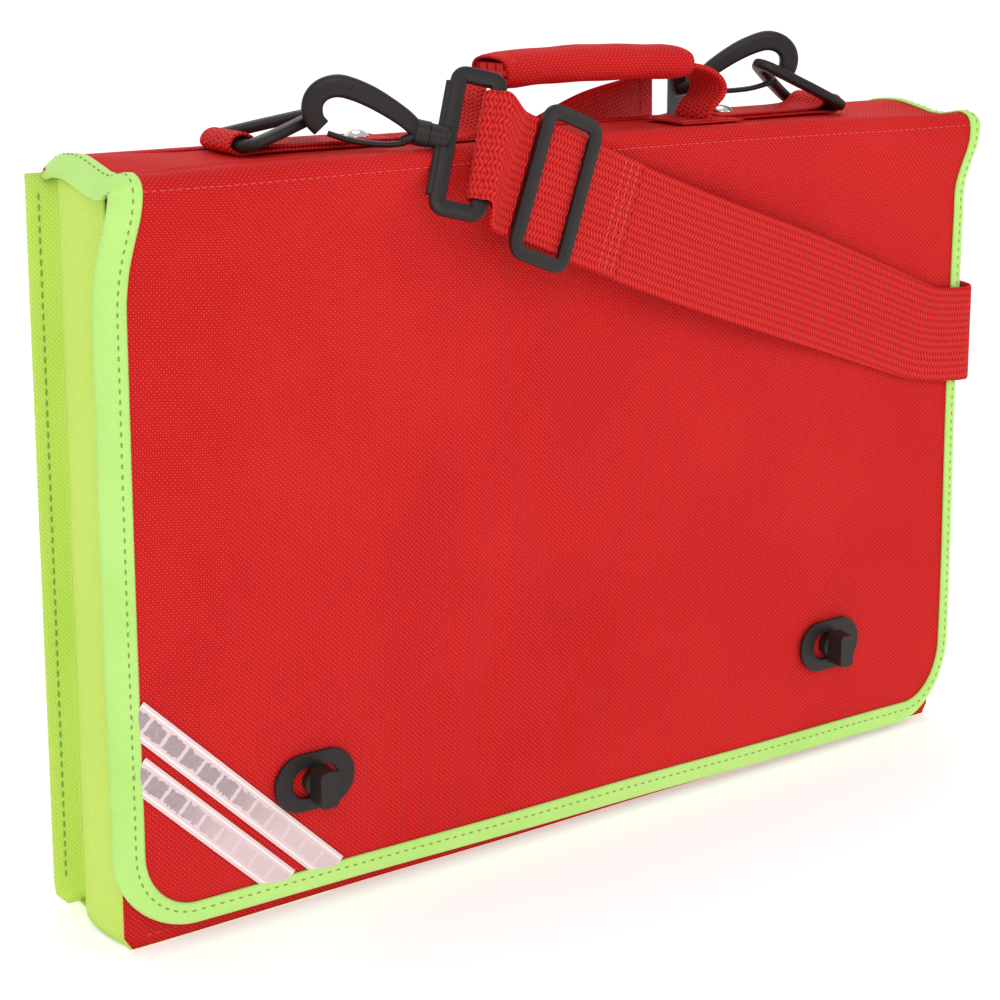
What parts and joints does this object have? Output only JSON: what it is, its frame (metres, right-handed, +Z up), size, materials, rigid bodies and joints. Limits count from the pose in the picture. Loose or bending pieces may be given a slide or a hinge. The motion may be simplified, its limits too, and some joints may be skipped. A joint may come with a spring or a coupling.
{
  "type": "document_bag",
  "caption": "Red woven document satchel with lime gussets and binding, flap with turn locks, padded handle and clipped shoulder strap",
  "frame": {"origin": "middle of the base, on the surface the bag stands on", "axes": "+X along the width toward the right, -Y toward the flap, +Z up"},
  "size_m": [0.4528, 0.1097, 0.3383],
  "materials": {
    "red_fabric": "matte",
    "red_webbing": "matte",
    "lime_fabric": "matte",
    "lime_binding": "matte",
    "reflective_tape": "satin",
    "stiffener": "matte",
    "nickel": "polished",
    "black_plastic": "satin"
  },
  "bodies": {
    "root": {"back_panel": "red_fabric", "back_board": "stiffener", "front_panel": "red_fabric", "gusset_left": "lime_fabric", "gusset_right": "lime_fabric", "base_panel": "lime_fabric", "base_board": "stiffener", "lock_base_left": "black_plastic", "lock_base_right": "black_plastic", "strap_back": "red_webbing"},
    "lid": {"top_band": "red_fabric", "band_board": "stiffener", "flap_panel": "red_fabric", "flap_board": "stiffener", "flap_binding": "lime_binding", "reflective_tape_upper": "reflective_tape", "reflective_tape_lower": "reflective_tape", "lock_plate_front": "black_plastic", "lock_plate_back": "black_plastic", "ring_tab_left": "red_webbing", "ring_tab_right": "red_webbing", "rivet": "nickel", "handle_anchor": "red_webbing", "strap_frame_left": "black_plastic", "strap_frame_right": "black_plastic", "strap_front": "red_webbing", "strap_side": "red_webbing", "strap_over": "red_webbing"},
    "knob_left": {"turn_knob_left": "black_plastic"},
    "knob_right": {"turn_knob_right": "black_plastic"},
    "handle": {"handle_webbing": "red_webbing", "handle_grip": "red_webbing"},
    "ring_l": {"ring_left": "black_plastic"},
    "ring_r": {"ring_right": "black_plastic"},
    "hook_l": {"hook_left": "black_plastic"},
    "hook_r": {"hook_right": "black_plastic"},
    "gate_l": {"gate_left": "black_plastic"},
    "gate_r": {"gate_right": "black_plastic"},
    "adjuster": {"slider": "black_plastic", "strap_end": "red_webbing"}
  },
  "joints": [
    {"name": "lid_open", "type": "hinge", "parent": "root", "child": "lid", "pos_m": [0, 0.025, 0.2994], "axis": [-1, 0, 0], "range_deg": [0, 70], "deforming": ["strap_side", "strap_over"]},
    {"name": "lock_left_turn", "type": "hinge", "parent": "root", "child": "knob_left", "pos_m": [-0.138, -0.04, 0.055], "axis": [0, 1, 0], "range_deg": [0, 90]},
    {"name": "lock_right_turn", "type": "hinge", "parent": "root", "child": "knob_right", "pos_m": [0.138, -0.04, 0.055], "axis": [0, 1, 0], "range_deg": [0, 90]},
    {"name": "handle_rock", "type": "hinge", "parent": "lid", "child": "handle", "pos_m": [0.008, -0.006, 0.3163], "axis": [1, 0, 0], "range_deg": [-3, 6]},
    {"name": "ring_left_lift", "type": "hinge", "parent": "lid", "child": "ring_l", "pos_m": [-0.152, -0.001, 0.306], "axis": [0, -1, 0], "range_deg": [0, 3]},
    {"name": "ring_right_lift", "type": "hinge", "parent": "lid", "child": "ring_r", "pos_m": [0.152, -0.001, 0.306], "axis": [0, 1, 0], "range_deg": [0, 3]},
    {"name": "hook_left_swivel", "type": "hinge", "parent": "lid", "child": "hook_l", "pos_m": [-0.082, -0.037, 0.3075], "axis": [0.847, -0.4831, -0.2215], "range_deg": [-8, 8]},
    {"name": "hook_right_swivel", "type": "hinge", "parent": "lid", "child": "hook_r", "pos_m": [0.093, 0.02, 0.316], "axis": [-0.8455, 0.4881, -0.2164], "range_deg": [-8, 8]},
    {"name": "gate_left_press", "type": "hinge", "parent": "hook_l", "child": "gate_l", "pos_m": [-0.0946, -0.02981, 0.30505], "axis": [0.4955, 0.8686, 0], "range_deg": [0, 8], "stiffness_Nm_per_rad": 0.02},
    {"name": "gate_right_press", "type": "hinge", "parent": "hook_r", "child": "gate_r", "pos_m": [0.10555, 0.01276, 0.31348], "axis": [-0.5, -0.866, 0], "range_deg": [0, 8], "stiffness_Nm_per_rad": 0.02},
    {"name": "adjuster_slide", "type": "slide", "parent": "lid", "child": "adjuster", "axis": [0.9212, 0, -0.3891], "range_m": [-0.004, 0.02]}
  ]
}
